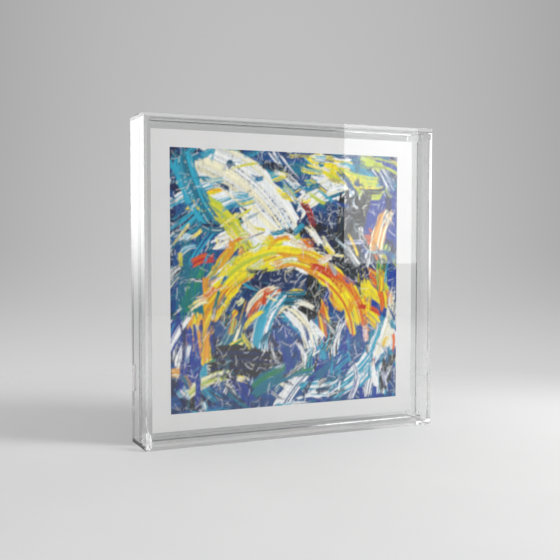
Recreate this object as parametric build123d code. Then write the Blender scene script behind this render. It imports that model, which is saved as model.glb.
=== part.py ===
from build123d import *
import os

# A clear acrylic box frame that stands on its lower wall, with a print held halfway back.
# Millimetres, +Z up, the front faces -Y. The origin is the middle of the underside.
# The box is a front panel and four walls, bonded at their faces and open at the back.
# An insert slides in from behind: a panel with the print taped to it, four posts and a back panel.

# Driving sizes of the box
frame_width = 254.0
frame_height = 254.0
frame_depth = 38.0
front_thickness = 3.0
wall_thickness = 3.0
edge_break = 0.4  # polished bevel along every outer edge

# The print, and the space in front of it
display_depth = 14.5  # from the front panel's inner face to the face of the print
print_gap = 7.0  # clear gap from the walls' inner faces to the print's edges
print_thickness = 0.3

# Double-sided tape behind the print
tape_thickness = 0.2
tape_width = 12.0
tape_margin = 8.0  # from the print's edge to the tape
tape_end_gap = 6.0  # between an upright strip and the flat strips above and below it

# Panels of the insert
mount_thickness = 3.0
back_thickness = 3.0
panel_clearance = 0.3  # running gap between the insert's panels and the walls
panel_bevel = 0.3

# Posts that join the two panels
post_diameter = 10.0
post_inset = 24.0  # from the frame's outer faces to a post's axis

# Corner stops that the insert comes to rest against
stop_side = 6.0
stop_depth = 6.0
stop_bevel = 2.0
stop_clearance = 0.1

# Finger hole in the back panel, which also hangs on a peg
hole_diameter = 20.0
hole_drop = 26.0  # from the top of the frame to the hole's axis
hole_bevel = 0.5

# Silicone pads in notches along the back panel's upright edges
pad_length = 20.0
pad_depth = 1.5
pad_proud = 0.2  # how far a pad stands out of the panel's edge
pad_height_share = 0.3  # of the frame's height, from its middle to a pad's middle

# Places along Y, from front to back
front_y = -frame_depth / 2
rear_y = frame_depth / 2
seam_y = front_y + front_thickness
print_y = seam_y + display_depth
tape_y = print_y + print_thickness
mount_y = tape_y + tape_thickness
mount_rear_y = mount_y + mount_thickness
back_y = rear_y - back_thickness

# Places across and up
middle_z = frame_height / 2
inner_width = frame_width - 2 * wall_thickness
inner_height = frame_height - 2 * wall_thickness
panel_width = inner_width - 2 * panel_clearance
panel_height = inner_height - 2 * panel_clearance
print_width = inner_width - 2 * print_gap
print_height = inner_height - 2 * print_gap
sides = {"left": -1, "right": 1}
levels = {"bottom": -1, "top": 1}


def block(x_size, y_size, z_size, x=0.0, y=0.0, z=0.0):
    """A box by its sizes, with its middle at x and z, and its front face at y."""
    return Pos(x, y, z) * Box(x_size, y_size, z_size, align=(Align.CENTER, Align.MIN, Align.CENTER))


def on_outside(point):
    """How many of the frame's outer planes a point lies on."""
    offsets = (
        abs(point.X) - frame_width / 2,
        abs(point.Y) - frame_depth / 2,
        abs(point.Z - middle_z) - frame_height / 2,
    )
    return sum(abs(offset) < edge_break / 2 for offset in offsets)


def polished(piece):
    """The piece with a bevel along each of its edges that is an outer edge of the frame."""
    edges = [edge for edge in piece.edges() if on_outside(edge @ 0.5) >= 2]
    return chamfer(edges, edge_break)


def face_edges(piece, axis, which):
    """The edges round the lowest (0) or highest (-1) face of a piece along an axis."""
    return piece.faces().sort_by(axis)[which].edges()


def front_panel():
    return polished(block(frame_width, front_thickness, frame_height, y=front_y, z=middle_z))


def flat_wall(level):
    """The top or bottom wall, as wide as the frame, behind the front panel."""
    z = middle_z + level * (frame_height - wall_thickness) / 2
    return polished(block(frame_width, rear_y - seam_y, wall_thickness, y=seam_y, z=z))


def upright_wall(side):
    """The left or right wall, which fits between the top and bottom walls."""
    x = side * (frame_width - wall_thickness) / 2
    return polished(block(wall_thickness, rear_y - seam_y, inner_height, x=x, y=seam_y, z=middle_z))


def panel_stop(side, level):
    """A small block in a corner of the box, just in front of the mount panel."""
    x = side * (inner_width - stop_side) / 2
    z = middle_z + level * (inner_height - stop_side) / 2
    y = mount_y - stop_clearance - stop_depth
    stop = block(stop_side, stop_depth, stop_side, x=x, y=y, z=z)
    uprights = stop.edges().filter_by(Axis.Y)
    free_edge = uprights.sort_by(lambda edge: side * edge.center().X + level * edge.center().Z)[0]
    return chamfer(free_edge, stop_bevel)


def mount_panel():
    """The clear panel that carries the print."""
    panel = block(panel_width, mount_thickness, panel_height, y=mount_y, z=middle_z)
    return chamfer(face_edges(panel, Axis.Y, 0) + face_edges(panel, Axis.Y, -1), panel_bevel)


def post(side, level):
    """A clear rod bonded between the mount panel and the back panel."""
    x = side * (frame_width / 2 - post_inset)
    z = middle_z + level * (frame_height / 2 - post_inset)
    rod = Cylinder(post_diameter / 2, back_y - mount_rear_y, align=(Align.CENTER, Align.CENTER, Align.MIN))
    return Pos(x, mount_rear_y, z) * Rot(-90, 0, 0) * rod


def pad_place(side, level):
    """The middle of a pad's inner face, at the bottom of its notch."""
    return side * (panel_width / 2 - pad_depth), middle_z + level * pad_height_share * frame_height


def back_panel():
    """The clear panel that closes the back, with a finger hole and notches for the pads."""
    panel = block(panel_width, back_thickness, panel_height, y=back_y, z=middle_z)
    for side in sides.values():
        for level in levels.values():
            x, z = pad_place(side, level)
            panel -= block(2 * pad_depth, back_thickness, pad_length, x=x + side * pad_depth, y=back_y, z=z)
    hole_z = frame_height - hole_drop
    drill = Cylinder(hole_diameter / 2, 2 * back_thickness)
    panel -= Pos(0, back_y + back_thickness / 2, hole_z) * Rot(90, 0, 0) * drill
    rims = panel.edges().filter_by(GeomType.CIRCLE)
    return chamfer(rims, hole_bevel)


def grip_pad(side, level):
    """A silicone pad that fills its notch and rubs on the wall."""
    x, z = pad_place(side, level)
    reach = pad_depth + pad_proud
    return block(reach, back_thickness, pad_length, x=x + side * reach / 2, y=back_y, z=z)


def print_sheet():
    return block(print_width, print_thickness, print_height, y=print_y, z=middle_z)


def flat_strip(level):
    """A strip of tape along the top or bottom of the print."""
    z = middle_z + level * (print_height / 2 - tape_margin - tape_width / 2)
    return block(print_width - 2 * tape_margin, tape_thickness, tape_width, y=tape_y, z=z)


def upright_strip(side):
    """A strip of tape along the left or right of the print, between the flat strips."""
    x = side * (print_width / 2 - tape_margin - tape_width / 2)
    length = print_height - 2 * (tape_margin + tape_width + tape_end_gap)
    return block(tape_width, tape_thickness, length, x=x, y=tape_y, z=middle_z)


pieces = {
    "front_panel": front_panel(),
    "mount_panel": mount_panel(),
    "back_panel": back_panel(),
    "print_sheet": print_sheet(),
}
for side_name, side in sides.items():
    pieces[side_name + "_wall"] = upright_wall(side)
    pieces["tape_strip_" + side_name] = upright_strip(side)
for level_name, level in levels.items():
    pieces[level_name + "_wall"] = flat_wall(level)
    pieces["tape_strip_" + level_name] = flat_strip(level)
for side_name, side in sides.items():
    for level_name, level in levels.items():
        corner = level_name + "_" + side_name
        pieces["panel_stop_" + corner] = panel_stop(side, level)
        pieces["post_" + corner] = post(side, level)
        pieces["grip_pad_" + corner] = grip_pad(side, level)

os.makedirs("parts", exist_ok=True)
for node, piece in pieces.items():
    export_step(piece, "parts/" + node + ".step")
    print(node, round(piece.volume, 2))
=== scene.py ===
import bpy
import math
import numpy as np
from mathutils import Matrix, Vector


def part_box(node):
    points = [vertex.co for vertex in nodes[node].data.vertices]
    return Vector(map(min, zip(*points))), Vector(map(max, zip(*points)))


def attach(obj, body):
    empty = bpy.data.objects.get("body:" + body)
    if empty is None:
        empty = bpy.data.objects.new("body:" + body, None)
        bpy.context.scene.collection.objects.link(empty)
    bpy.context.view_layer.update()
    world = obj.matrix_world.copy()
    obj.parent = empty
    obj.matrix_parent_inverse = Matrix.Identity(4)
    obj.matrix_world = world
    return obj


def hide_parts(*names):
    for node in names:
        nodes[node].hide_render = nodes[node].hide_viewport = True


# A clear acrylic box frame with a painted print floating halfway back, in a plain pale studio.
# Settings are in millimetres and degrees unless a note says otherwise, and mm turns them into metres. The
# size of a surface pattern is its number of cells to the metre, and a bump is a strength and a height.
mm = 0.001

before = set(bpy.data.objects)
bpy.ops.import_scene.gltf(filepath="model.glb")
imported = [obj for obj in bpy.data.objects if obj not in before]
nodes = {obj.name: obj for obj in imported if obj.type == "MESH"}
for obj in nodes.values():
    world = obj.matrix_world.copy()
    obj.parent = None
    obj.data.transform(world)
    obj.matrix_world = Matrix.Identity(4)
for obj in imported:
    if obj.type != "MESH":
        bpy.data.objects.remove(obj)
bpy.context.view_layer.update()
scene = bpy.context.scene
print("frame loaded:", len(nodes), "nodes")


def cornersOf(node):  # a node's lowest and highest corner, in millimetres
    low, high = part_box(node)
    return np.array(low) / mm, np.array(high) / mm


def newMesh(name, points, faces):  # points in millimetres
    mesh = bpy.data.meshes.new(name)
    mesh.from_pydata((np.array(points) * mm).tolist(), [], faces)
    mesh.update()
    return mesh


def newObject(name, data, material=None):
    thing = bpy.data.objects.new(name, data)
    scene.collection.objects.link(thing)
    if material:
        data.materials.append(material)
    return thing


frontLow, frontHigh = cornersOf("front_panel")
halfWide, middleZ = frontHigh[0], (frontLow[2] + frontHigh[2]) / 2


# Camera, from a fit to the photograph

camera = {
    "lens": 57.52,
    "sensor": 36.0,
    "clip": (10.0, 50000.0),  # nearest and furthest that it sees
    "place": (-313.6, -664.0, 157.6),
    "turn": -24.213,  # about the upright axis, from looking along +Y
    "tilt": -2.801,  # below the horizon
    "shift": (0.0148, 0.0102),  # in sensor widths
}


def makeCamera():
    data = bpy.data.cameras.new("camera")
    data.lens, data.sensor_width = camera["lens"], camera["sensor"]
    data.shift_x, data.shift_y = camera["shift"]
    data.clip_start, data.clip_end = (v * mm for v in camera["clip"])
    eye = newObject("camera", data)
    eye.location = Vector(camera["place"]) * mm
    eye.rotation_euler = (math.radians(90 + camera["tilt"]), 0, math.radians(camera["turn"]))
    scene.camera = eye


makeCamera()
print("camera made")


# Numbers and noise, all on whole arrays

lattice = {
    "size": 64,
    "offset": (7.3, 3.1),  # keeps the picture's corner off a lattice point
    "seedStep": 31,  # from one layer of noise to the next
    "contrast": 1.5,
}


def linear(colour):  # screen colour to light: a short straight toe, then a power
    c = np.asarray(colour, float)
    return np.where(c <= 0.04045, c / 12.92, ((c + 0.055) / 1.055) ** 2.4)


def ramp(low, high, value):  # 0 up to low, 1 from high, and an s-curve between them
    t = np.clip((value - low) / (high - low), 0, 1)
    return t * t * (3 - 2 * t)


def softNoise(x, z, cell, seed):  # random values on a lattice, joined by s-curves, from 0 to 1
    size = lattice["size"]
    table = np.random.default_rng(seed).random((size, size))
    u = np.asarray(x) / cell[0] + lattice["offset"][0]
    v = np.asarray(z) / cell[1] + lattice["offset"][1]
    i, j = np.floor(u).astype(int), np.floor(v).astype(int)
    s, t = ramp(0, 1, u - i), ramp(0, 1, v - j)
    left, right, under, over = i % size, (i + 1) % size, j % size, (j + 1) % size
    low = table[left, under] * (1 - s) + table[right, under] * s
    high = table[left, over] * (1 - s) + table[right, over] * s
    return low * (1 - t) + high * t


def layeredNoise(x, z, cell, seed, layers=2):  # noises of half the cell and half the strength each time
    total, share = 0, 0
    for k in range(layers):
        finer = (cell[0] / 2**k, cell[1] / 2**k)
        total = total + softNoise(x, z, finer, seed + lattice["seedStep"] * k) / 2**k
        share += 1 / 2**k
    return np.clip((total / share - 0.5) * lattice["contrast"] + 0.5, 0, 1)


def lineNoise(at, cell, seed):  # the same along one line
    return layeredNoise(at, 0, (cell, 1), seed)


# Node helpers

noiseSpan = (0.3, 0.7)  # most values of a noise texture lie between these
patchSpan = (0.4, 0.6)  # a patch with a clearer edge fades between these


class Weave:  # adds nodes to one tree and links them, so that a material reads as a list of steps
    def __init__(self, tree):
        self.tree = tree

    def add(self, kind, settings=None, **sockets):
        node = self.tree.nodes.new(kind)
        for key, value in (settings or {}).items():
            setattr(node, key, value)
        for key, value in sockets.items():
            self.feed(node, key, value)
        return node

    def feed(self, node, key, value):  # key is a socket's name, or n and its number
        numbered = key[0] == "n" and key[1:].isdigit()
        socket = node.inputs[int(key[1:])] if numbered else node.inputs[key]
        if isinstance(value, bpy.types.NodeSocket):
            self.tree.links.new(value, socket)
        elif isinstance(value, bpy.types.Node):
            self.tree.links.new(value.outputs[0], socket)
        else:
            socket.default_value = value

    def calc(self, operation, a, b=0.0, c=0.0):
        return self.add("ShaderNodeMath", {"operation": operation}, n0=a, n1=b, n2=c).outputs[0]

    def vector(self, operation, a, b=(0, 0, 0)):
        node = self.add("ShaderNodeVectorMath", {"operation": operation}, n0=a, n1=b)
        return node.outputs["Value" if operation in ("DOT_PRODUCT", "DISTANCE") else "Vector"]

    def noise(self, at, scale, detail=2.0, roughness=0.5):
        sockets = {"Vector": at, "Scale": scale, "Detail": detail, "Roughness": roughness}
        return self.add("ShaderNodeTexNoise", None, **sockets).outputs[0]

    def split(self, vector):
        return self.add("ShaderNodeSeparateXYZ", None, Vector=vector).outputs

    def stretched(self, at, scale, rotation=(0, 0, 0)):  # rotation in radians
        return self.add("ShaderNodeMapping", None, Vector=at, Rotation=rotation, Scale=scale).outputs[0]

    def rise(self, value, low, high, start=0.0, end=1.0, curve="SMOOTHSTEP"):  # low..high to start..end
        way = {"interpolation_type": curve}
        return self.add("ShaderNodeMapRange", way, n0=value, n1=low, n2=high, n3=start, n4=end).outputs[0]

    def spread(self, noise, start, end):  # a noise over start..end
        return self.rise(noise, *noiseSpan, start, end)

    def blend(self, factor, a, b):  # colour a where factor is 0, b where it is 1
        return self.add("ShaderNodeMix", {"data_type": "RGBA"}, n0=factor, n6=a, n7=b).outputs[2]

    def mix(self, factor, a, b):  # the same for shaders
        return self.add("ShaderNodeMixShader", None, Fac=factor, n1=a, n2=b)

    def bump(self, strength, height, pattern):  # height in millimetres
        return self.add("ShaderNodeBump", None, Strength=strength, Distance=height * mm, Height=pattern)

    def principled(self, colour, roughness, plain, **sockets):  # plain: sockets with one value all over
        node = self.add("ShaderNodeBsdfPrincipled", None, Roughness=roughness, **sockets)
        self.feed(node, "Base Color", colour)
        for key, value in plain.items():
            node.inputs[key].default_value = value
        return node

    def group(self, tree, **sockets):
        return self.add("ShaderNodeGroup", {"node_tree": tree}, **sockets)


def newGroup(name, inputs, outputs):  # inputs and outputs: name, kind and starting value
    tree = bpy.data.node_groups.new(name, "ShaderNodeTree")
    for way, sockets in (("INPUT", inputs), ("OUTPUT", outputs)):
        for label, kind, start in sockets:
            socket = tree.interface.new_socket(label, in_out=way, socket_type="NodeSocket" + kind)
            if start is not None:
                socket.default_value = start
    weave = Weave(tree)
    return weave, weave.add("NodeGroupInput"), weave.add("NodeGroupOutput")


def newMaterial(name):
    material = bpy.data.materials.new(name)
    material.use_nodes = True
    material.node_tree.nodes.clear()
    weave = Weave(material.node_tree)
    end = weave.add("ShaderNodeOutputMaterial")
    at = weave.add("ShaderNodeTexCoord").outputs["Object"]
    return material, weave, at, end


# Effects that several materials use

marksOfHandling = {
    "smear": (0.45, 0.75),  # values of the patches' noise where a smear starts and is full
    "worn": (0.50, 0.62),  # and where hairlines start and are full
    "thin": 0.006,  # how far from its middle the stretched noise is at a hairline's edge
    "turn": (0.3, 0.9, 0.5),  # radians
    "stretch": (1, 1, 0.06),
}

marksOfPaper = {
    "stretch": (0.3, 1, 1),  # of the fibres
    "cloud": 22.0,
    "cloudShare": 0.4,  # of the tone
}


def makeSeamBox():
    # 1 inside a box: the place's distance from the centre is under half the size along all three axes
    weave, given, result = newGroup(
        "seamBox",
        [("Place", "Vector", None), ("Centre", "Vector", None), ("Half", "Vector", None)],
        [("Mask", "Float", None)],
    )
    place, centre, half = (given.outputs[name] for name in ("Place", "Centre", "Half"))
    away = weave.vector("ABSOLUTE", weave.vector("SUBTRACT", place, centre))
    over = weave.split(weave.vector("SUBTRACT", away, half))
    most = weave.calc("MAXIMUM", weave.calc("MAXIMUM", over[0], over[1]), over[2])
    weave.feed(result, "Mask", weave.calc("LESS_THAN", most, 0.0))
    return weave.tree


def makeHandling():
    # Smears: broad soft patches. Hairlines: thin broken lines where a stretched noise meets its middle.
    weave, given, result = newGroup(
        "handling",
        [("Place", "Vector", None), ("Patches", "Float", 30.0), ("Lines", "Float", 400.0)],
        [("Smear", "Float", None), ("Line", "Float", None)],
    )
    place, marks = given.outputs["Place"], marksOfHandling
    patch = weave.noise(place, given.outputs["Patches"], detail=4.0, roughness=0.6)
    weave.feed(result, "Smear", weave.rise(patch, *marks["smear"]))
    turned = weave.stretched(place, marks["stretch"], marks["turn"])
    fine = weave.noise(turned, given.outputs["Lines"], detail=1.0)
    ridge = weave.calc("ABSOLUTE", weave.calc("SUBTRACT", fine, 0.5))
    thin = weave.rise(ridge, 0.0, marks["thin"], 1.0, 0.0)
    weave.feed(result, "Line", weave.calc("MULTIPLY", thin, weave.rise(patch, *marks["worn"])))
    return weave.tree


def makeTooth():
    # Paper tooth and fibres: two noises, one even and one drawn out, as a colour factor and a height
    weave, given, result = newGroup(
        "tooth",
        [("Place", "Vector", None), ("Grains", "Float", 1800.0)],
        [("Tone", "Float", None), ("Height", "Float", None)],
    )
    place, grains, share = given.outputs["Place"], given.outputs["Grains"], marksOfPaper["cloudShare"]
    even = weave.noise(place, grains, detail=3.0, roughness=0.6)
    fibre = weave.noise(weave.stretched(place, marksOfPaper["stretch"]), grains)
    both = weave.calc("MULTIPLY_ADD", fibre, 0.5, weave.calc("MULTIPLY", even, 0.5))
    cloud = weave.noise(place, marksOfPaper["cloud"], detail=3.0)
    rest = weave.calc("MULTIPLY", both, 1 - share)
    weave.feed(result, "Tone", weave.calc("MULTIPLY_ADD", cloud, share, rest))
    weave.feed(result, "Height", both)
    return weave.tree


seamBox, handling, tooth = makeSeamBox(), makeHandling(), makeTooth()


# Clear acrylic

acrylic = {
    "kinds": {  # colour, colour where it has been handled, and share of glass in the mix
        "boxAcrylic": ((0.992, 0.994, 0.994, 1), (0.975, 0.978, 0.978, 1), 1.0),
        # The darker grey of this kind is painted shade: it darkens what is seen through the mount panel,
        # back panel and top wall
        "shadeTintedAcrylic": ((0.92, 0.924, 0.924, 1), (0.905, 0.91, 0.91, 1), 1.0),
        "stopAcrylic": ((0.992, 0.994, 0.994, 1), (0.975, 0.978, 0.978, 1), 0.2),
    },
    "greyer": ("mount_panel", "back_panel", "top_wall"),  # pieces of the darker acrylic, whose grey tint is painted shade on what is seen through them
    "bend": 1.49,  # index of refraction
    "patches": 24.0,
    "lines": 700.0,
    "smearRoughness": 0.022,
    "bump": (0.4, 0.005),
    "lampLight": 0.96,  # share of a lamp's light that gets through each face
    "joint": 0.05,  # half the thickness in which a bonded joint is see-through
}


def jointMask(weave, at):
    # 1 where two pieces are bonded. The place is folded into one quarter of the frame, and tested against
    # thin boxes at that quarter's joints and against the ends of its post.
    wallLow, wallHigh = cornersOf("right_wall")
    stopLow, stopHigh = cornersOf("panel_stop_top_right")
    postLow, postHigh = cornersOf("post_top_right")
    inner, seam, rear = wallLow[0], wallLow[1], wallHigh[1]
    innerUp = wallHigh[2] - middleZ
    thin, wide = acrylic["joint"], halfWide * 2
    reach = (halfWide - inner) / 2 + thin
    stopMid, stopHalf = (stopLow + stopHigh) / 2, (stopHigh - stopLow) / 2
    joints = [  # centre and half size
        ((inner + reach, seam, 0), (reach, thin, wide)),
        ((0, seam, innerUp + reach), (wide, thin, reach)),
        ((inner + reach, (seam + rear) / 2, innerUp), (reach, (rear - seam) / 2, thin)),
        ((inner, stopMid[1], stopMid[2] - middleZ), (thin, stopHalf[1], stopHalf[2])),
        ((stopMid[0], stopMid[1], innerUp), (stopHalf[0], stopHalf[1], thin)),
    ]
    x, y, z = weave.split(at)
    across = weave.calc("ABSOLUTE", x)
    up = weave.calc("ABSOLUTE", weave.calc("SUBTRACT", z, middleZ * mm))
    quarter = weave.add("ShaderNodeCombineXYZ", None, X=across, Y=y, Z=up)
    mask = None
    for joint in joints:
        centre, half = ([v * mm for v in corner] for corner in joint)
        box = weave.group(seamBox, Place=quarter, Centre=centre, Half=half)
        mask = box.outputs[0] if mask is None else weave.calc("MAXIMUM", mask, box.outputs[0])
    axis = (postLow + postHigh) / 2
    flat = weave.add("ShaderNodeCombineXYZ", None, X=across, Z=up)
    off = weave.vector("DISTANCE", flat, (axis[0] * mm, 0, (axis[2] - middleZ) * mm))
    inPost = weave.calc("LESS_THAN", off, (postHigh[0] - axis[0]) * mm)
    for level in (postLow[1], postHigh[1]):
        far = weave.calc("ABSOLUTE", weave.calc("SUBTRACT", y, level * mm))
        onEnd = weave.calc("MULTIPLY", weave.calc("LESS_THAN", far, thin * mm), inPost)
        mask = weave.calc("MAXIMUM", mask, onEnd)
    return mask


def makeAcrylic(kind):
    # Glass, but straight-through at bonded joints, and for rays from lamps and from the print, which stand
    # for the light that reaches the print through the clear faces
    colour, haze, share = acrylic["kinds"][kind]
    material, weave, at, end = newMaterial(kind)
    marks = weave.group(handling, Place=at, Patches=acrylic["patches"], Lines=acrylic["lines"])
    smear = marks.outputs["Smear"]
    glass = weave.principled(
        weave.blend(smear, colour, haze),
        weave.calc("MULTIPLY", smear, acrylic["smearRoughness"]),
        {"Metallic": 0.0, "IOR": acrylic["bend"], "Transmission Weight": 1.0},
        Normal=weave.bump(*acrylic["bump"], marks.outputs["Line"]),
    )
    path = weave.add("ShaderNodeLightPath")
    joined = weave.add("ShaderNodeBsdfTransparent")
    through = weave.add("ShaderNodeBsdfTransparent", None, Color=[acrylic["lampLight"]] * 3 + [1])
    mask = jointMask(weave, at)
    if share < 1:
        mask = weave.calc("MAXIMUM", mask, 1 - share)
    soft = weave.mix(path.outputs["Is Diffuse Ray"], weave.mix(mask, glass, joined), through)
    weave.feed(end, "Surface", weave.mix(path.outputs["Is Shadow Ray"], soft, through))
    return material


# Print paper

paper = {
    "colour": (0.80, 0.80, 0.795, 1),
    "shade": (0.765, 0.765, 0.76, 1),
    "shadeSpan": (0.35, 0.65),  # values of the tooth's tone over which shade turns into colour
    "roughness": (0.42, 0.58),
    "grains": 1500.0,
    "bump": (0.25, 0.04),
    "shine": 0.35,
}


def makePaper():
    material, weave, at, end = newMaterial("printPaper")
    grain = weave.group(tooth, Place=at, Grains=paper["grains"])
    tone = weave.rise(grain.outputs["Tone"], *paper["shadeSpan"])
    surface = weave.principled(
        weave.blend(tone, paper["shade"], paper["colour"]),
        weave.spread(grain.outputs["Height"], *paper["roughness"]),
        {"Specular IOR Level": paper["shine"]},
        Normal=weave.bump(*paper["bump"], grain.outputs["Height"]),
    )
    weave.feed(end, "Surface", surface)
    return material


# The painted picture on the print: a fan of knife strokes round a low point, over broad blocks of blue

picture = {
    "wide": 204.0,
    "tall": 207.0,
    "squares": 310,  # of the mesh, each way
    "finer": 2,  # painted cells to a square
    "lift": (0.01, 0.04),  # back and front of the ink, in front of the paper
    "ground": ("ocean", "navy"),
    "groundCell": (70, 70),
    "groundSeed": 5,
    "strokeSeeds": (100, 300),
    "seedStep": 10,  # from one stroke to the next
}

inks = {  # as they look on the paper
    "navy": (0.02, 0.10, 0.30),
    "royal": (0.02, 0.21, 0.60),
    "ocean": (0.02, 0.29, 0.54),
    "teal": (0.02, 0.44, 0.55),
    "cyan": (0.16, 0.65, 0.77),
    "green": (0.10, 0.52, 0.36),
    "lime": (0.76, 0.82, 0.24),
    "yellow": (0.96, 0.88, 0.10),
    "ochre": (0.90, 0.62, 0.10),
    "orange": (0.87, 0.42, 0.12),
    "red": (0.78, 0.17, 0.13),
    "coal": (0.06, 0.065, 0.075),
    "slate": (0.14, 0.18, 0.22),
    "cream": (0.94, 0.92, 0.80),
    "white": (0.95, 0.96, 0.96),
    "chalk": (0.80, 0.84, 0.86),
    "shadow": (0.30, 0.36, 0.42),
}

underStrokes = (  # ink, second ink, x, z, turn, length, width, bend, dryness
    ("ocean", "navy", 40, 150, 82, 130, 60, 6, 0.05),
    ("teal", "ocean", 18, 120, 88, 150, 34, -4, 0.10),
    ("navy", "ocean", 50, 30, 8, 120, 62, 3, 0.05),
    ("royal", "ocean", 165, 50, 80, 130, 70, 8, 0.05),
    ("royal", "navy", 186, 170, 96, 90, 46, -5, 0.08),
    ("ocean", "teal", 118, 186, 4, 120, 44, -3, 0.10),
)

boldStrokes = (
    ("cream", "white", 62, 172, -38, 96, 34, 9, 0.22),
    ("white", "cream", 96, 138, -32, 84, 26, -8, 0.30),
    ("lime", "yellow", 44, 146, -44, 62, 14, 6, 0.30),
    ("cyan", "teal", 22, 176, -64, 58, 20, -4, 0.30),
    ("coal", "slate", 160, 134, 84, 84, 27, 3, 0.12),
    ("coal", "navy", 68, 34, -7, 74, 25, 3, 0.12),
    ("coal", "slate", 122, 92, 71, 46, 18, -3, 0.16),
    ("yellow", "ochre", 37, 72, 63, 66, 24, 9, 0.18),
    ("yellow", "lime", 71, 111, 24, 62, 22, 7, 0.20),
    ("ochre", "yellow", 116, 113, -19, 52, 19, 6, 0.22),
    ("yellow", "orange", 150, 84, -56, 60, 21, 8, 0.22),
    ("orange", "yellow", 52, 92, 47, 44, 8, 5, 0.34),
    ("orange", "red", 136, 103, -36, 38, 7, 5, 0.36),
    ("white", "cyan", 84, 70, 66, 46, 17, 5, 0.30),
    ("cream", "white", 112, 60, -58, 44, 13, 5, 0.34),
    ("white", "cyan", 178, 42, 58, 64, 19, -6, 0.34),
    ("white", "cream", 194, 66, 74, 58, 12, -4, 0.38),
    ("cyan", "white", 160, 24, 36, 54, 15, -5, 0.36),
    ("teal", "green", 96, 22, 18, 60, 16, 5, 0.30),
    ("green", "teal", 24, 96, 80, 40, 14, 4, 0.32),
    ("green", "lime", 192, 112, 86, 38, 11, 3, 0.34),
    ("royal", "ocean", 98, 46, -70, 40, 17, 4, 0.18),
    ("royal", "navy", 14, 42, 84, 56, 18, -3, 0.18),
    ("white", "cream", 132, 172, 28, 50, 15, 5, 0.36),
    ("lime", "yellow", 162, 190, -12, 54, 12, -4, 0.30),
    ("ochre", "cream", 190, 142, 72, 40, 13, 3, 0.34),
    ("red", "orange", 27, 119, 14, 19, 8, 2, 0.22),
    ("red", "coal", 118, 157, -63, 24, 6, 2, 0.26),
    ("red", "orange", 177, 76, -18, 22, 5, 2, 0.28),
    ("red", "orange", 81, 90, 70, 15, 5, 1, 0.28),
    ("coal", "navy", 92, 190, -22, 34, 8, 3, 0.30),
    ("coal", "slate", 196, 22, 80, 34, 12, 2, 0.20),
    ("cream", "lime", 30, 20, 24, 40, 9, 4, 0.40),
)

zones = (  # where the dabs take their inks from: x, z, reach, inks
    (30, 160, 34, ("teal", "cyan", "ocean", "white", "navy")),
    (80, 165, 34, ("cream", "white", "lime", "cyan", "yellow")),
    (130, 185, 30, ("ocean", "teal", "white", "yellow", "cyan")),
    (186, 172, 28, ("royal", "navy", "ocean", "lime")),
    (160, 134, 22, ("coal", "slate", "navy", "white")),
    (70, 110, 28, ("yellow", "ochre", "lime", "cream", "orange")),
    (125, 108, 24, ("yellow", "ochre", "white", "coal", "orange")),
    (34, 70, 24, ("yellow", "green", "teal", "ochre", "cream")),
    (70, 34, 30, ("coal", "navy", "slate", "teal", "white")),
    (110, 60, 26, ("white", "royal", "cyan", "coal", "cream")),
    (165, 80, 22, ("yellow", "ochre", "royal", "orange", "white")),
    (175, 40, 30, ("white", "cyan", "ocean", "royal", "teal")),
    (14, 30, 22, ("royal", "navy", "cyan", "white")),
    (120, 20, 26, ("ocean", "teal", "cyan", "coal", "white")),
)

knife = {  # in shares of the stroke's width unless a note says otherwise
    "margin": (0.6, 0.5),  # round a stroke: share of its size, and millimetres
    "sides": (0.5, 0.28),  # size of the waves in the sides, and their depth
    "ends": (0.12, 0.30),  # the same of the ends, with the depth as a share of the length
    "fade": (0.35, 0.5),  # of the sides and the ends, in millimetres
    "bristle": (2.2, 0.045),  # length and width of a bristle's mark
    "grain": (1.6, 1.1),  # in millimetres
    "bristleShare": 0.62,  # of the noise that opens dry gaps, and the rest is grain
    "nearWear": 0.25,  # share of the dryness at the near end
    "wearSpan": (-0.4, 1.0),  # where it grows to the whole, in half lengths
    "leastWear": 0.10,
    "gapEdge": (-0.10, 0.06),  # round the wear: where a gap ends and the paint is full
    "streak": (2.6, 0.10),  # length and width of the second ink's streaks
    "streakSpan": (0.42, 0.62),
    "tone": (0.80, 0.38),  # between the bristles' marks, and what they add
    "brightest": 0.97,
}

dabs = {  # small strokes that turn round one point
    "swirl": (96, 48),
    "margin": 4,  # how far outside the picture their middles may lie
    "sway": 24,  # spread of their turn
    "bend": 0.25,  # spread of their bend, as a share of the width
    "seedSteps": (1000, 7),  # from one set to the next, and from one dab to the next
    "sets": (  # count, lengths, widths, dryness, seed
        (110, (22, 48), (7, 15), 0.30, 2),
        (230, (6, 24), (1.6, 6), 0.42, 3),
    ),
}

scrapes = {  # thin lines where a bent noise meets its middle
    "cells": ((4.4, 2.4), (2.2, 4.0)),
    "wiggle": (9, 2.4),  # size and reach of what bends the lines
    "line": (0.01, 0.045),  # how far from its middle the noise is where a line is full and where it ends
    "patch": (16, 16),
    "seeds": (700, 720, 740, 760),  # of the two bends, the lines and the patches
    "inks": (  # ink, light of the paint where it starts and is full, the same of the patches, strength
        ("chalk", (0.16, 0.05), (0.52, 0.75), 0.8),
        ("shadow", (0.30, 0.55), (0.55, 0.72), 0.5),
    ),
}

scratches = {
    "count": 1500,
    "seed": 9,
    "darkest": 0.12,  # light under which the paint is dark
    "onPale": 9,  # one scratch in this many is drawn whatever the paint
    "turns": (0.5, 2.1, 1.2),  # radians
    "sway": 0.5,
    "lengths": (1.5, 9.0),
    "bend": 0.14,  # spread, as a share of the length
    "inks": ("white", "cream", "cyan", "slate"),
    "odds": (0.62, 0.2, 0.1, 0.08),
    "widths": (0.25, 0.65),
    "strengths": (0.4, 0.95),
    "points": 12,
    "margin": 0.7,
    "edge": (0.25, 0.75),  # where it starts to fade and ends, as shares of the width
}


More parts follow.
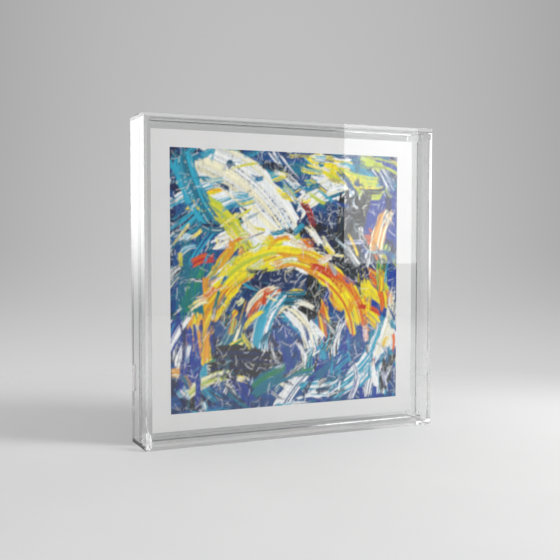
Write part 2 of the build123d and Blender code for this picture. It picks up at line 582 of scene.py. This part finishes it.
def window(x, z, low, high):  # the part of the sheet between two corners, or None
    a = np.where((x[:, 0] > low[0]) & (x[:, 0] < high[0]))[0]
    b = np.where((z[0] > low[1]) & (z[0] < high[1]))[0]
    if len(a) < 2 or len(b) < 2:
        return None
    return slice(a[0], a[-1] + 1), slice(b[0], b[-1] + 1)


def knifeStroke(sheet, x, z, stroke, seed):
    # Along and across are the place turned to the stroke's direction, and a parabola bends them. The mask
    # ends at a ragged outline, and noise drawn out along the stroke opens dry gaps towards its far end.
    ink, second, x0, z0, turn, length, width, bend, dry = stroke
    angle = math.radians(turn)
    c, s = math.cos(angle), math.sin(angle)
    share, extra = knife["margin"]
    far, wide = length * share + extra, width * share + abs(bend) + extra
    reach = np.array([far * abs(c) + wide * abs(s), far * abs(s) + wide * abs(c)])
    cut = window(x, z, np.array([x0, z0]) - reach, np.array([x0, z0]) + reach)
    if cut is None:
        return
    px, pz = x[cut] - x0, z[cut] - z0
    along = px * c + pz * s
    t = along / (length / 2)
    across = pz * c - px * s - bend * (1 - t * t)

    wave, depth = knife["sides"]
    half = width / 2 * (1 + depth * (lineNoise(along, width * wave, seed + 1) - 0.5))
    wave, depth = knife["ends"]
    stop = length / 2 * (1 + depth * (lineNoise(across, width * wave, seed + 2) - 0.5))
    sideFade, endFade = knife["fade"]
    body = ramp(0, sideFade, half - abs(across)) * ramp(0, endFade, stop - abs(along))

    bristle = layeredNoise(along, across, [width * v for v in knife["bristle"]], seed + 3)
    grain = layeredNoise(along, across, knife["grain"], seed + 4)
    share, near = knife["bristleShare"], knife["nearWear"]
    wear = dry * (near + (1 - near) * ramp(*knife["wearSpan"], t)) + knife["leastWear"]
    gap, full = knife["gapEdge"]
    mask = (body * ramp(wear + gap, wear + full, share * bristle + (1 - share) * grain))[..., None]

    streak = layeredNoise(along, across, [width * v for v in knife["streak"]], seed + 5)
    streak = ramp(*knife["streakSpan"], streak)[..., None]
    one, two = linear(inks[ink]), linear(inks[second])
    tone = knife["tone"][0] + knife["tone"][1] * bristle[..., None]
    colour = np.clip((one + (two - one) * streak) * tone, 0, knife["brightest"])
    sheet[cut] = sheet[cut] * (1 - mask) + colour * mask


def scatterDabs(sheet, x, z, count, lengths, widths, dry, seed):
    draw = np.random.default_rng(seed)
    centres = np.array([[a, b] for a, b, _, _ in zones])
    reaches = np.array([r for _, _, r, _ in zones])
    margin, (setStep, dabStep) = dabs["margin"], dabs["seedSteps"]
    for k in range(count):
        spot = np.array([draw.uniform(-margin, picture[side] + margin) for side in ("wide", "tall")])
        weight = np.exp(-((spot - centres) ** 2).sum(1) / (2 * reaches**2))
        zone = zones[draw.choice(len(zones), p=weight / weight.sum())]
        ink, second = draw.choice(zone[3], 2)
        way = spot - np.array(dabs["swirl"])
        turn = math.degrees(math.atan2(way[1], way[0])) + 90 + draw.normal(0, dabs["sway"])
        length, width = draw.uniform(*lengths), draw.uniform(*widths)
        bend = draw.normal(0, width * dabs["bend"])
        stroke = (ink, second, *spot, turn, length, width, bend, dry)
        knifeStroke(sheet, x, z, stroke, setStep * seed + dabStep * k)


def scrape(sheet, x, z):  # pale lines on dark paint, and dark ones on pale
    bright = sheet.mean(2)
    size, reach = scrapes["wiggle"]
    for k, cell in enumerate(scrapes["cells"]):
        seedX, seedZ, seedLine, seedPatch = (seed + k for seed in scrapes["seeds"])
        bentX = x + reach * layeredNoise(x, z, (size, size), seedX)
        bentZ = z + reach * layeredNoise(x, z, (size, size), seedZ)
        line = 1 - ramp(*scrapes["line"], abs(softNoise(bentX, bentZ, cell, seedLine) - 0.5))
        patch = layeredNoise(x, z, scrapes["patch"], seedPatch, 3)
        for ink, lights, patches, strength in scrapes["inks"]:
            mask = (line * ramp(*lights, bright) * ramp(*patches, patch) * strength)[..., None]
            sheet[:] = sheet * (1 - mask) + linear(inks[ink]) * mask


def hairline(sheet, x, z, ink, points, width, strength):
    # The distance to a curve of three points, cut into short straight runs, is under half the width
    first, middle, last = points
    s = np.linspace(0, 1, scratches["points"])[:, None]
    route = (1 - s) ** 2 * first + 2 * s * (1 - s) * middle + s**2 * last
    margin = width + scratches["margin"]
    cut = window(x, z, route.min(0) - margin, route.max(0) + margin)
    if cut is None:
        return
    here = np.stack([x[cut], z[cut]], -1)
    far = np.full(here.shape[:2], np.inf)
    for start, run in zip(route[:-1], np.diff(route, axis=0)):
        t = np.clip(((here - start) @ run) / (run @ run), 0, 1)
        far = np.minimum(far, np.linalg.norm(here - start - t[..., None] * run, axis=-1))
    core, edge = (width * v for v in scratches["edge"])
    mask = (strength * (1 - ramp(core, edge, far)))[..., None]
    sheet[cut] = sheet[cut] * (1 - mask) + linear(inks[ink]) * mask


def scratch(sheet, x, z):  # most scratches are on dark paint
    dark = sheet.mean(2) < scratches["darkest"]
    size = np.array([picture["wide"], picture["tall"]])
    draw = np.random.default_rng(scratches["seed"])
    for k in range(scratches["count"]):
        spot = np.array([draw.uniform(0, v) for v in size])
        cell = (spot / size * len(dark)).astype(int)
        turn = draw.choice(scratches["turns"]) + draw.normal(0, scratches["sway"])
        run = np.array([math.cos(turn), math.sin(turn)]) * draw.uniform(*scratches["lengths"])
        side = np.array([-run[1], run[0]]) * draw.normal(0, scratches["bend"])
        ink = draw.choice(scratches["inks"], p=scratches["odds"])
        width, strength = draw.uniform(*scratches["widths"]), draw.uniform(*scratches["strengths"])
        if dark[tuple(cell)] or k % scratches["onPale"] == 0:
            hairline(sheet, x, z, ink, (spot, spot + run / 2 + side, spot + run), width, strength)


def paintSheet():  # the picture's light, as squares by squares by 3
    finer = picture["finer"]
    squares = picture["squares"]
    count = squares * finer
    steps = (np.arange(count) + 0.5) / count
    x, z = np.meshgrid(steps * picture["wide"], steps * picture["tall"], indexing="ij")
    one, two = (linear(inks[ink]) for ink in picture["ground"])
    flow = layeredNoise(x, z, picture["groundCell"], picture["groundSeed"])[..., None]
    sheet = one * flow + two * (1 - flow)
    for strokes, seed, dabSet in zip((underStrokes, boldStrokes), picture["strokeSeeds"], dabs["sets"]):
        for k, stroke in enumerate(strokes):
            knifeStroke(sheet, x, z, stroke, seed + picture["seedStep"] * k)
        scatterDabs(sheet, x, z, *dabSet)
    scrape(sheet, x, z)
    scratch(sheet, x, z)
    return sheet.reshape(squares, finer, squares, finer, 3).mean((1, 3))


def closedSheet(name, front, depth, material):
    # A grid of points as the front, the same border moved back by depth as the rim, and one flat back face
    rows, columns = front.shape[:2]
    index = np.arange(rows * columns).reshape(rows, columns)
    corners = [index[:-1, :-1], index[1:, :-1], index[1:, 1:], index[:-1, 1:]]
    quads = np.stack(corners, -1).reshape(-1, 4)
    border = np.concatenate([index[:, 0], index[-1, 1:], index[-2::-1, -1], index[0, -2:0:-1]])
    points = front.reshape(-1, 3)
    behind = points[border] + np.array([0, depth, 0])
    back = np.arange(len(border)) + rows * columns
    rim = np.stack([border, back, np.roll(back, -1), np.roll(border, -1)], -1)
    faces = quads.tolist() + rim.tolist() + [back[::-1].tolist()]
    return newObject(name, newMesh(name, np.concatenate([points, behind]), faces), material)


inkSurface = {
    "grains": 1500.0,
    "tone": (0.94, 1.03),
    "streaks": 900.0,
    "stretch": (1, 1, 0.15),  # of the streaks
    "turn": (0, 0.6, 0),  # radians
    "streakTone": (0.95, 1.05),
    "roughness": (0.34, 0.5),
    "bump": (0.2, 0.03),
    "shine": 0.15,
}


def makeInk():
    # The painted colour, a little broken by the paper's tooth, with gloss that follows the paint
    material, weave, at, end = newMaterial("printedInk")
    painted = weave.add("ShaderNodeAttribute", {"attribute_name": "inkColour"}).outputs["Color"]
    grain = weave.group(tooth, Place=at, Grains=inkSurface["grains"])
    drawn = weave.stretched(at, inkSurface["stretch"], inkSurface["turn"])
    streak = weave.noise(drawn, inkSurface["streaks"])
    tone = weave.spread(grain.outputs["Tone"], *inkSurface["tone"])
    shade = weave.calc("MULTIPLY", tone, weave.spread(streak, *inkSurface["streakTone"]))
    surface = weave.principled(
        weave.add("ShaderNodeVectorMath", {"operation": "SCALE"}, n0=painted, Scale=shade),
        weave.spread(streak, *inkSurface["roughness"]),
        {"Specular IOR Level": inkSurface["shine"]},
        Normal=weave.bump(*inkSurface["bump"], grain.outputs["Height"]),
    )
    weave.feed(end, "Surface", surface)
    return material


def makePicture():
    sheetLow, sheetHigh = cornersOf("print_sheet")
    centre = (sheetLow + sheetHigh) / 2
    count = picture["squares"] + 1
    low, high = picture["lift"]
    steps = np.linspace(-0.5, 0.5, count)
    across, up = centre[0] + steps * picture["wide"], centre[2] + steps * picture["tall"]
    x, z = np.meshgrid(across, up, indexing="ij")
    front = np.stack([x, np.full_like(x, sheetLow[1] - high), z], -1)
    piece = closedSheet("printed_picture", front, high - low, makeInk())
    edged = np.pad(paintSheet(), ((1, 1), (1, 1), (0, 0)), mode="edge")
    corner = (edged[1:, 1:] + edged[:-1, 1:] + edged[1:, :-1] + edged[:-1, :-1]) / 4
    light = np.zeros((len(piece.data.vertices), 4), np.float32)
    light[:, 3] = 1
    light[: count * count, :3] = corner.reshape(-1, 3)
    attribute = piece.data.attributes.new("inkColour", "FLOAT_COLOR", "POINT")
    attribute.data.foreach_set("color", light.ravel())
    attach(piece, "insert")


makePicture()
print("picture painted")


# Mounting tape

tape = {
    "colour": (0.90, 0.89, 0.84, 1),
    "film": (0.80, 0.80, 0.78, 1),  # where air is caught under it
    "bubbles": 420.0,
    "caught": (0.52, 0.62),  # values of the bubbles' noise where the film starts and is full
    "dull": (0.4, 0.65),  # and where the roughness does
    "roughness": (0.35, 0.6),
    "bump": (0.3, 0.05),
    "milky": (0.15, 1.0),  # share and reach of the light that spreads inside
    "air": 0.03,  # gap in front of and behind a strip
    "squares": (160, 12),
    "edgeWave": 0.35,
    "waves": 200 / 9,  # cells of noise along a strip
    "waveSeed": 60,
}


def makeTape():
    material, weave, at, end = newMaterial("mountingTape")
    bubble = weave.noise(at, tape["bubbles"], detail=4.0, roughness=0.6)
    weight, reach = tape["milky"]
    surface = weave.principled(
        weave.blend(weave.rise(bubble, *tape["caught"]), tape["colour"], tape["film"]),
        weave.rise(bubble, *tape["dull"], *tape["roughness"]),
        {"Subsurface Weight": weight, "Subsurface Scale": reach * mm},
        Normal=weave.bump(*tape["bump"], bubble),
    )
    weave.feed(end, "Surface", surface)
    return material


def makeStrips():  # a flat grid whose long edges wave a little, in place of each CAD strip
    material = makeTape()
    stations, rows = (np.linspace(start, 1, count) for start, count in zip((0, -1), tape["squares"]))
    a, b = np.meshgrid(stations, rows, indexing="ij")
    for k, side in enumerate(("top", "bottom", "left", "right")):
        node = "tape_strip_" + side
        low, high = cornersOf(node)
        long, short = (0, 2) if side in ("top", "bottom") else (2, 0)
        noise = layeredNoise(a * tape["waves"], b, (1, 1), tape["waveSeed"] + k, 3)
        points = np.zeros(a.shape + (3,))
        points[..., long] = low[long] + a * (high[long] - low[long])
        half = (high[short] - low[short]) / 2 - tape["edgeWave"] * noise
        points[..., short] = (low[short] + high[short]) / 2 + b * half
        points[..., 1] = low[1] + tape["air"]
        if long == 2:
            points = points.transpose(1, 0, 2)
        piece = closedSheet("tape_" + side, points, high[1] - low[1] - 2 * tape["air"], material)
        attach(piece, "insert")
        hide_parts(node)


makeStrips()
print("tape made")


# Silicone pads

silicone = {
    "colour": (0.86, 0.87, 0.88, 1),
    "dust": (0.74, 0.74, 0.72, 1),
    "patches": 160.0,
    "lines": 1500.0,
    "roughness": (0.35, 0.55),
    "bump": (0.2, 0.03),
    "milky": (0.5, 2.0),
    "ribs": 9,
    "ribHeight": 0.16,
    "ribFade": 0.6,  # share of the way to the outer side over which the ribs rise to their height
    "roundness": 3.4,  # power of the section's rounded outline, 2 is an ellipse
    "endPower": 12,  # the higher, the shorter the ends over which a pad draws in
    "inset": 0.04,
    "around": 48,
    "along": 90,
}


def makeSilicone():
    material, weave, at, end = newMaterial("clearSilicone")
    marks = weave.group(handling, Place=at, Patches=silicone["patches"], Lines=silicone["lines"])
    smear = marks.outputs["Smear"]
    weight, reach = silicone["milky"]
    surface = weave.principled(
        weave.blend(smear, silicone["colour"], silicone["dust"]),
        weave.rise(smear, 0.0, 1.0, *silicone["roughness"]),
        {"Subsurface Weight": weight, "Subsurface Scale": reach * mm},
        Normal=weave.bump(*silicone["bump"], marks.outputs["Line"]),
    )
    weave.feed(end, "Surface", surface)
    return material


def makePad(node, way, material):
    # A rounded outline (a superellipse) carried up the edge, drawn in at its ends, ribbed on the outer side
    low, high = cornersOf(node)
    middle, half = (low + high) / 2, (high - low) / 2 - silicone["inset"]
    around, along = silicone["around"], silicone["along"]
    t, s = np.meshgrid(np.linspace(-1, 1, along), np.arange(around) / around, indexing="ij")
    c, d = np.cos(s * 2 * math.pi), np.sin(s * 2 * math.pi)
    power = 2 / silicone["roundness"]
    close = (1 - abs(t) ** silicone["endPower"]) ** 0.5
    wave = 0.5 - 0.5 * np.cos(t * math.pi * silicone["ribs"])
    rib = silicone["ribHeight"] * wave * ramp(0, silicone["ribFade"], c)
    x = middle[0] + way * (np.sign(c) * abs(c) ** power * half[0] - rib) * close
    y = middle[1] + np.sign(d) * abs(d) ** power * half[1] * close
    z = middle[2] + t * half[2]
    index = np.arange(along * around).reshape(along, around)[1:-1]
    turned = np.roll(index, -1, axis=1)
    quads = np.stack([index[:-1], turned[:-1], turned[1:], index[1:]], -1).reshape(-1, 4)[:, ::way]
    ends = [index[0][::-way].tolist(), index[-1][::way].tolist()]
    name = node.replace("grip_pad", "ribbed_pad")
    mesh = newMesh(name, np.stack([x, y, z], -1).reshape(-1, 3), quads.tolist() + ends)
    return newObject(name, mesh, material)


def makePads():
    material = makeSilicone()
    for level in ("top", "bottom"):
        for side, way in (("left", -1), ("right", 1)):
            node = f"grip_pad_{level}_{side}"
            piece = makePad(node, way, material)
            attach(piece, "insert")
            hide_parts(node)


makePads()
print("pads made")


# Painted highlights: bright edge lines and white corner slivers

rimHighlights = {  # slanted mirror strips along the mount panel's rim, a painted highlight that stands for the light its edges throw forwards
    "wide": 1.0,
    "inset": 0.35,  # from the walls
    "air": 0.01,
    "slants": {"top": 15, "bottom": 30, "left": 10, "right": 10},
    "colour": (0.50, 0.50, 0.505, 1),
    "shade": (0.40, 0.40, 0.405, 1),
    "clouds": 260.0,
    "roughness": (0.04, 0.10),
    "metal": 1.0,
}

glintSlivers = {  # thin white slivers at the box's lower left corner, a painted highlight that stands for the light glinting in that corner
    "seed": 4,
    "facing": ((0.95, 0.30, 0.10), (0.0, 0.25, 0.97), (-0.30, 0.90, -0.30)),  # across, up and back
    "bounds": ((-126.85, -18.85, 0.15), (-121.0, 18.8, 34.0)),
    "lean": 0.15,  # most, either way, as a share of the length
    "notch": (0.5, 0.9),  # where the right edge ends, up the length
    "step": (0.0, 0.2),  # and where it starts
    "thick": 0.3,
    "colour": (0.97, 0.97, 0.97, 1),
    "shade": (0.92, 0.92, 0.925, 1),
    "clouds": 900.0,
    "roughness": (0.25, 0.45),
    "metal": 0.0,
    "sets": (  # count, lowest and highest foot, lengths, widths
        (17, (-126.6, -18.6, 1.0), (-122.8, -16.5, 7.0), (2.5, 8.0), (0.3, 1.1)),
        (13, (-126.6, -16.0, 1.0), (-124.8, -7.0, 9.0), (3.0, 8.0), (0.3, 1.3)),
        (9, (-126.4, -18.6, 0.3), (-123.6, -14.0, 2.0), (0.8, 2.5), (0.6, 2.0)),
        (1, (-126.4, -1.0, 9.0), (-126.0, 0.0, 10.0), (22.0, 24.0), (0.3, 0.4)),
    ),
}


def makeCloudy(name, settings):  # two tones and a change of gloss, both by one noise
    material, weave, at, end = newMaterial(name)
    cloud = weave.noise(at, settings["clouds"])
    colour = weave.blend(weave.rise(cloud, *patchSpan), settings["colour"], settings["shade"])
    gloss = weave.spread(cloud, *settings["roughness"])
    weave.feed(end, "Surface", weave.principled(colour, gloss, {"Metallic": settings["metal"]}))
    return material


def makeRimHighlights():  # prisms from stop to stop, with a three-cornered section
    # Mirror prisms that carry a painted highlight along the mount panel's rim
    material = makeCloudy("rimHighlightMirror", rimHighlights)
    low, high = cornersOf("mount_panel")
    stopLow = cornersOf("panel_stop_top_right")[0]
    air, inset, wide = rimHighlights["air"], rimHighlights["inset"], rimHighlights["wide"]
    back = low[1] - air
    reachAcross, reachUp = stopLow[0] - air, stopLow[2] - middleZ - air  # up to the stops
    for side, slant in rimHighlights["slants"].items():
        rise = wide * math.tan(math.radians(slant))
        if side in ("left", "right"):  # thick at its outer edge
            outer = high[0] - inset if side == "right" else low[0] + inset
            inner = outer - wide if side == "right" else outer + wide
            section = [(outer, back), (inner, back), (outer, back - rise)]
            points = [(x, y, middleZ + z) for z in (-reachUp, reachUp) for x, y in section]
        else:  # thick at its lower edge
            under = high[2] - inset - wide if side == "top" else low[2] + inset
            section = [(back, under), (back, under + wide), (back - rise, under)]
            points = [(x, y, z) for x in (-reachAcross, reachAcross) for y, z in section]
        faces = [(0, 1, 2), (5, 4, 3), (0, 3, 4, 1), (1, 4, 5, 2), (2, 5, 3, 0)]
        if side == "left":  # its section runs the other way round
            faces = [face[::-1] for face in faces]
        name = "rim_highlight_" + side
        piece = newObject(name, newMesh(name, points, faces), material)
        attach(piece, "insert")


def makeGlintSlivers():  # each is a ragged outline of four corners, and a fifth point behind it
    # White slivers that paint a highlight into the box's lower left corner
    material = makeCloudy("glintSliverWhite", glintSlivers)
    draw = np.random.default_rng(glintSlivers["seed"])
    across, up, back = (np.array(way) for way in glintSlivers["facing"])
    points, faces = [], []
    for count, low, high, lengths, widths in glintSlivers["sets"]:
        for foot in draw.uniform(low, high, (count, 3)):
            long, wide = draw.uniform(*lengths), draw.uniform(*widths)
            lean = draw.uniform(-glintSlivers["lean"], glintSlivers["lean"])
            notch, step = draw.uniform(*glintSlivers["notch"]), draw.uniform(*glintSlivers["step"])
            right, top = across * wide, up * long
            corners = (foot, foot + right + top * step, foot + right + top * notch,
                       foot + across * long * lean + top, foot + (right + top) / 2 + back * glintSlivers["thick"])
            k = len(points)
            points += [tuple(np.clip(p, *glintSlivers["bounds"])) for p in corners]
            faces += [(k, k + 1, k + 2), (k, k + 2, k + 3)]
            faces += [(k + b, k + a, k + 4) for a, b in ((0, 1), (1, 2), (2, 3), (3, 0))]
    piece = newObject("corner_glint_slivers", newMesh("corner_glint_slivers", points, faces), material)
    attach(piece, "box")


makeRimHighlights()
makeGlintSlivers()
print("edge lines and flecks made")


def dressNodes():  # the CAD nodes that stay get their materials
    ready = {kind: makeAcrylic(kind) for kind in acrylic["kinds"]}
    ready["paper"] = makePaper()
    for name, node in nodes.items():
        if node.hide_render:
            continue
        kind = "shadeTintedAcrylic" if name in acrylic["greyer"] else "boxAcrylic"
        if name == "print_sheet":
            kind = "paper"
        elif name.startswith("panel_stop"):
            kind = "stopAcrylic"
        if node.material_slots:
            for slot in node.material_slots:
                slot.material = ready[kind]
        else:
            node.data.materials.append(ready[kind])


dressNodes()
print("nodes dressed")


# Studio: a pale floor that fades into a pale surround, a low lamp from the right, and four bright panels
# that the camera doesn't see. Two of them show as reflections in the acrylic, and two only through it.

studio = {
    "level": 0.625,  # light of the surround on the object
    "fall": (1.0, 5.0),  # how fast the surround darkens to both sides, at the two heights
    "fallHeights": (-0.14, 0.0),  # as sines
    "least": 0.72,  # share of the light that is left at the sides
    "darkBearing": (0.42, -0.907),  # middle of the dark part of the room, which only mirrors show
    "darkness": (0.70, 0.93, 1.0, 0.2),  # cosines where it starts and is full, and the share of light there
    "floorColour": 0.79,
    "mottle": 0.015,  # share by which the floor's tone changes, either way
    "mottles": 6.0,
    "floorSize": 2400.0,
    "floorGap": 0.2,
    "fade": (880.0, 1170.0),  # from the camera's foot, where the floor gives way to the surround
}

keyLamp = {
    "bearing": (0.775, -0.632),
    "height": 0.62,  # of the direction to it
    "distance": 1100.0,
    "size": (300.0, 560.0),
    "light": 14.0,  # radiance
}

brightPanels = {  # ends of the foot, heights, light at bottom and top, height of the fade at the bottom, ray
    "rightPanel": (((475, -807), (608, -770)), (116, 620), (4.4, 6.2), 4, "mirrored"),
    "leftPanel": (((-314, 880), (-900, 620)), (20, 700), (2.6, 2.8), 200, "mirrored"),
    # lights the right wall and its front edge from inside the acrylic
    "edgePanel": (((-950, 2300), (-1560, 1900)), (-100, 1400), (0.72, 0.92), 280, "refracted"),
    # brightens the slanted lines along the mount panel's rim
    "highPanel": (((556, -738), (900, -470)), (560, 1250), (2.0, 2.0), 40, "refracted"),
}

skyTones = (  # height of the direction as a sine, and the light there
    (-0.50, 0.66), (-0.24, 0.68), (-0.18, 0.69), (-0.135, 0.655), (-0.096, 0.61),
    (-0.061, 0.578), (0.01, 0.555), (0.13, 0.53), (0.25, 0.515), (0.60, 0.45),
)

bounces = {"all": 32, "transparent": 48, "glossy": 12}


def makeFloor():
    size, under = studio["floorSize"] / 2, -studio["floorGap"]
    points = [(x * size, y * size, under) for x, y in ((-1, -1), (1, -1), (1, 1), (-1, 1))]
    material, weave, at, end = newMaterial("floorPaint")
    foot = [v * mm for v in (*camera["place"][:2], under)]
    near, far = (v * mm for v in studio["fade"])
    there = weave.rise(weave.vector("DISTANCE", at, foot), near, far, 1.0, 0.0)
    tones = (studio["floorColour"] * (1 + way * studio["mottle"]) for way in (-1, 1))
    tone = weave.spread(weave.noise(at, studio["mottles"], detail=3.0), *tones)
    grey = weave.add("ShaderNodeCombineColor", None, Red=tone, Green=tone, Blue=tone)
    paint = weave.add("ShaderNodeBsdfDiffuse", None, Color=grey)
    gone = weave.add("ShaderNodeBsdfTransparent")
    weave.feed(end, "Surface", weave.mix(there, gone, paint))
    newObject("floor", newMesh("floor", points, [(0, 1, 2, 3)]), material)


def makeSurround():
    # One tone for the light on the object. What the camera, mirrors and glass see is a grey that changes
    # with height and falls off to both sides of the camera's middle bearing. Only mirrors see the dark part.
    world = bpy.data.worlds.new("surround")
    scene.world = world
    world.use_nodes = True
    world.node_tree.nodes.clear()
    weave = Weave(world.node_tree)
    way = weave.add("ShaderNodeTexCoord").outputs["Generated"]
    height = weave.split(way)[2]
    lowest, highest = skyTones[0][0], skyTones[-1][0]
    bands = weave.add("ShaderNodeValToRGB", None, Fac=weave.rise(height, lowest, highest, curve="LINEAR"))
    stops = bands.color_ramp.elements
    for level, tone in skyTones:
        spot = (level - lowest) / (highest - lowest)
        stop = stops[0] if spot == 0 else stops[-1] if spot == 1 else stops.new(spot)
        stop.color = (tone, tone, tone, 1)

    rays = weave.add("ShaderNodeLightPath").outputs
    turn = math.radians(camera["turn"])
    flat = weave.vector("NORMALIZE", weave.vector("MULTIPLY", way, (1, 1, 0)))
    facing = weave.vector("DOT_PRODUCT", flat, (-math.sin(turn), math.cos(turn), 0))
    fall = weave.rise(height, *studio["fallHeights"], *studio["fall"])
    fall = weave.calc("MULTIPLY", fall, weave.calc("SUBTRACT", 1.0, rays["Is Transmission Ray"]))
    loss = weave.calc("MULTIPLY", fall, weave.calc("SUBTRACT", 1.0, facing))
    side = weave.calc("MAXIMUM", weave.calc("SUBTRACT", 1.0, loss), studio["least"])
    mirrored = weave.vector("DOT_PRODUCT", flat, (*studio["darkBearing"], 0))
    direct = weave.calc("MAXIMUM", rays["Is Camera Ray"], rays["Is Transmission Ray"])
    behind = weave.calc("MAXIMUM", weave.rise(mirrored, *studio["darkness"]), direct)
    looks = weave.calc("MAXIMUM", direct, rays["Is Glossy Ray"])

    light = weave.calc("MULTIPLY", side, behind)
    seen = weave.add("ShaderNodeBackground", None, Color=bands.outputs[0], Strength=light)
    plain = weave.add("ShaderNodeBackground", None, Color=(1, 1, 1, 1), Strength=studio["level"])
    weave.feed(weave.add("ShaderNodeOutputWorld"), "Surface", weave.mix(looks, plain, seen))


def makeKeyLamp():
    data = bpy.data.lights.new("keyLamp", "AREA")
    data.shape = "RECTANGLE"
    data.size, data.size_y = (v * mm for v in keyLamp["size"])
    data.energy = keyLamp["light"] * math.pi * data.size * data.size_y
    lamp = newObject("keyLamp", data)
    centre = Vector((0, 0, middleZ)) * mm
    way = Vector((*keyLamp["bearing"], keyLamp["height"])).normalized()
    lamp.location = centre + way * keyLamp["distance"] * mm
    lamp.rotation_euler = way.to_track_quat("Z", "Y").to_euler()
    lamp.visible_camera = lamp.visible_glossy = lamp.visible_transmission = False


def makeBrightPanels():
    for name, (foot, heights, light, soft, ray) in brightPanels.items():
        (x0, y0), (x1, y1) = foot
        bottom, top = heights
        points = [(x0, y0, bottom), (x1, y1, bottom), (x1, y1, top), (x0, y0, top)]
        material, weave, at, end = newMaterial(name + "Glow")
        height = weave.split(at)[2]
        growth = weave.rise(height, bottom * mm, top * mm, *light)
        edge = weave.rise(height, bottom * mm, (bottom + soft) * mm)
        glow = weave.calc("MULTIPLY", growth, edge)
        shine = weave.add("ShaderNodeEmission", None, Color=(1, 1, 1, 1), Strength=glow)
        clear = weave.add("ShaderNodeBsdfTransparent")
        weave.feed(end, "Surface", weave.add("ShaderNodeAddShader", None, n0=shine, n1=clear))
        panel = newObject(name, newMesh(name, points, [(0, 1, 2, 3)]), material)
        panel.visible_camera = panel.visible_diffuse = panel.visible_shadow = False
        panel.visible_glossy = ray == "mirrored"
        panel.visible_transmission = ray == "refracted"


makeFloor()
makeSurround()
makeKeyLamp()
makeBrightPanels()
scene.view_settings.view_transform = "Standard"
scene.cycles.max_bounces = scene.cycles.transmission_bounces = bounces["all"]
scene.cycles.transparent_max_bounces = bounces["transparent"]
scene.cycles.glossy_bounces = bounces["glossy"]
print("studio lit")
